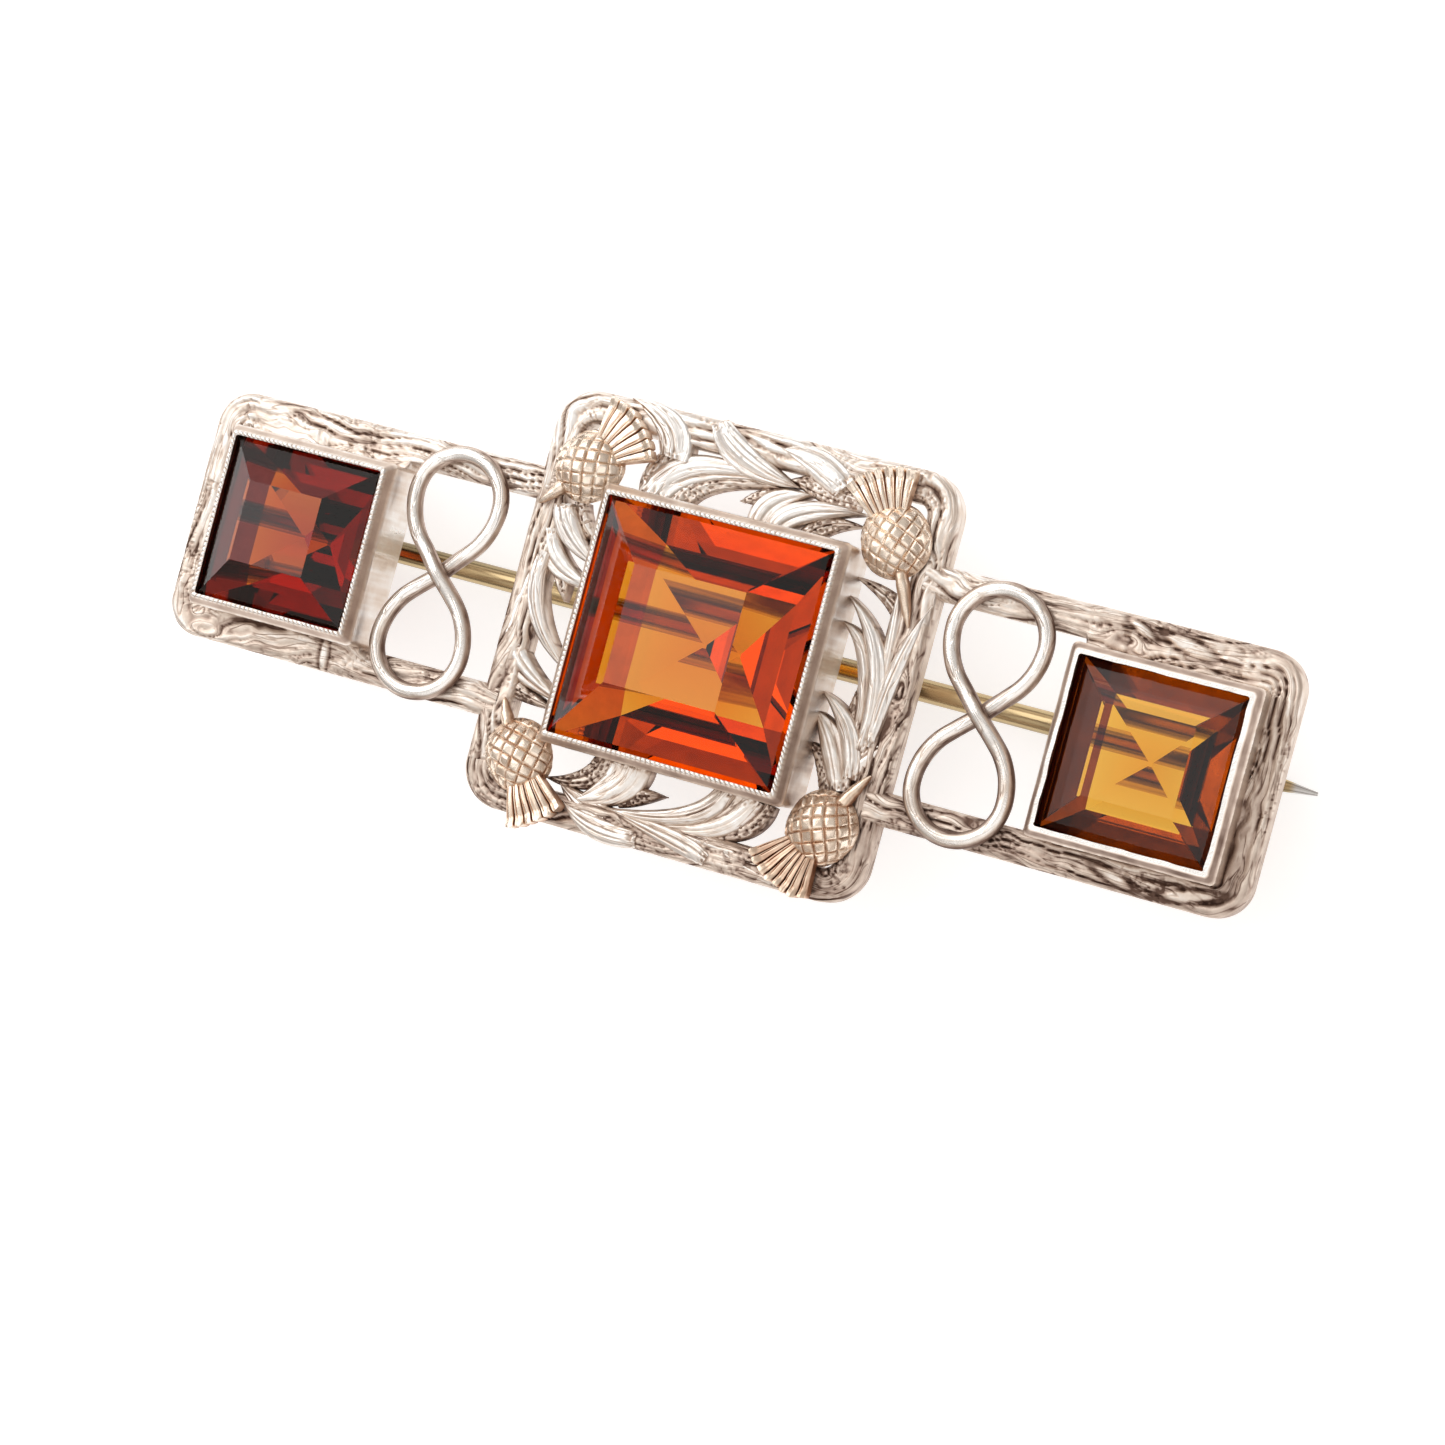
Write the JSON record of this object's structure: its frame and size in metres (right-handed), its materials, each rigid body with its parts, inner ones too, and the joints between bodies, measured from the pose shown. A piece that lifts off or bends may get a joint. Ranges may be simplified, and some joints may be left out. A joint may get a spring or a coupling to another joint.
{
  "type": "thistle brooch",
  "caption": "Long bar brooch with a square centre panel of pierced thistle leaves, box-set step-cut stones, gold thistle heads, figure-of-eight wires and a hinged pin on the back.",
  "frame": {"origin": "middle of the brooch's outline, at the height of the lowest point of its hinge, so that it lies on the plane z = 0 face up", "axes": "+X along the brooch towards the pin's point, +Y across its face, +Z out of its face"},
  "size_m": [0.061, 0.023, 0.0114],
  "materials": {
    "silver": "antiqued silver, bright on the high spots and brown in the recesses",
    "centre_stone": "polished amber citrine",
    "left_stone": "polished dark orange-brown citrine",
    "right_stone": "polished yellow citrine",
    "gold": "pale rose gold, satin, chased",
    "pin_brass": "drawn, lightly tarnished",
    "rivet_silver": "plain silver"
  },
  "bodies": {
    "brooch": {"silver_frame": "silver", "centre_citrine": "centre_stone", "left_citrine": "left_stone", "right_citrine": "right_stone", "thistle_top_left": "gold", "thistle_top_right": "gold", "thistle_bottom_left": "gold", "thistle_bottom_right": "gold", "hinge_rivet": "rivet_silver"},
    "pin": {"pin_stem": "pin_brass"}
  },
  "joints": [
    {"name": "pin_hinge", "type": "hinge", "parent": "brooch", "child": "pin", "pos_m": [-0.0291, 0.00072, 0.00135], "axis": [0, 1, 0], "range_deg": [0, 100]}
  ]
}
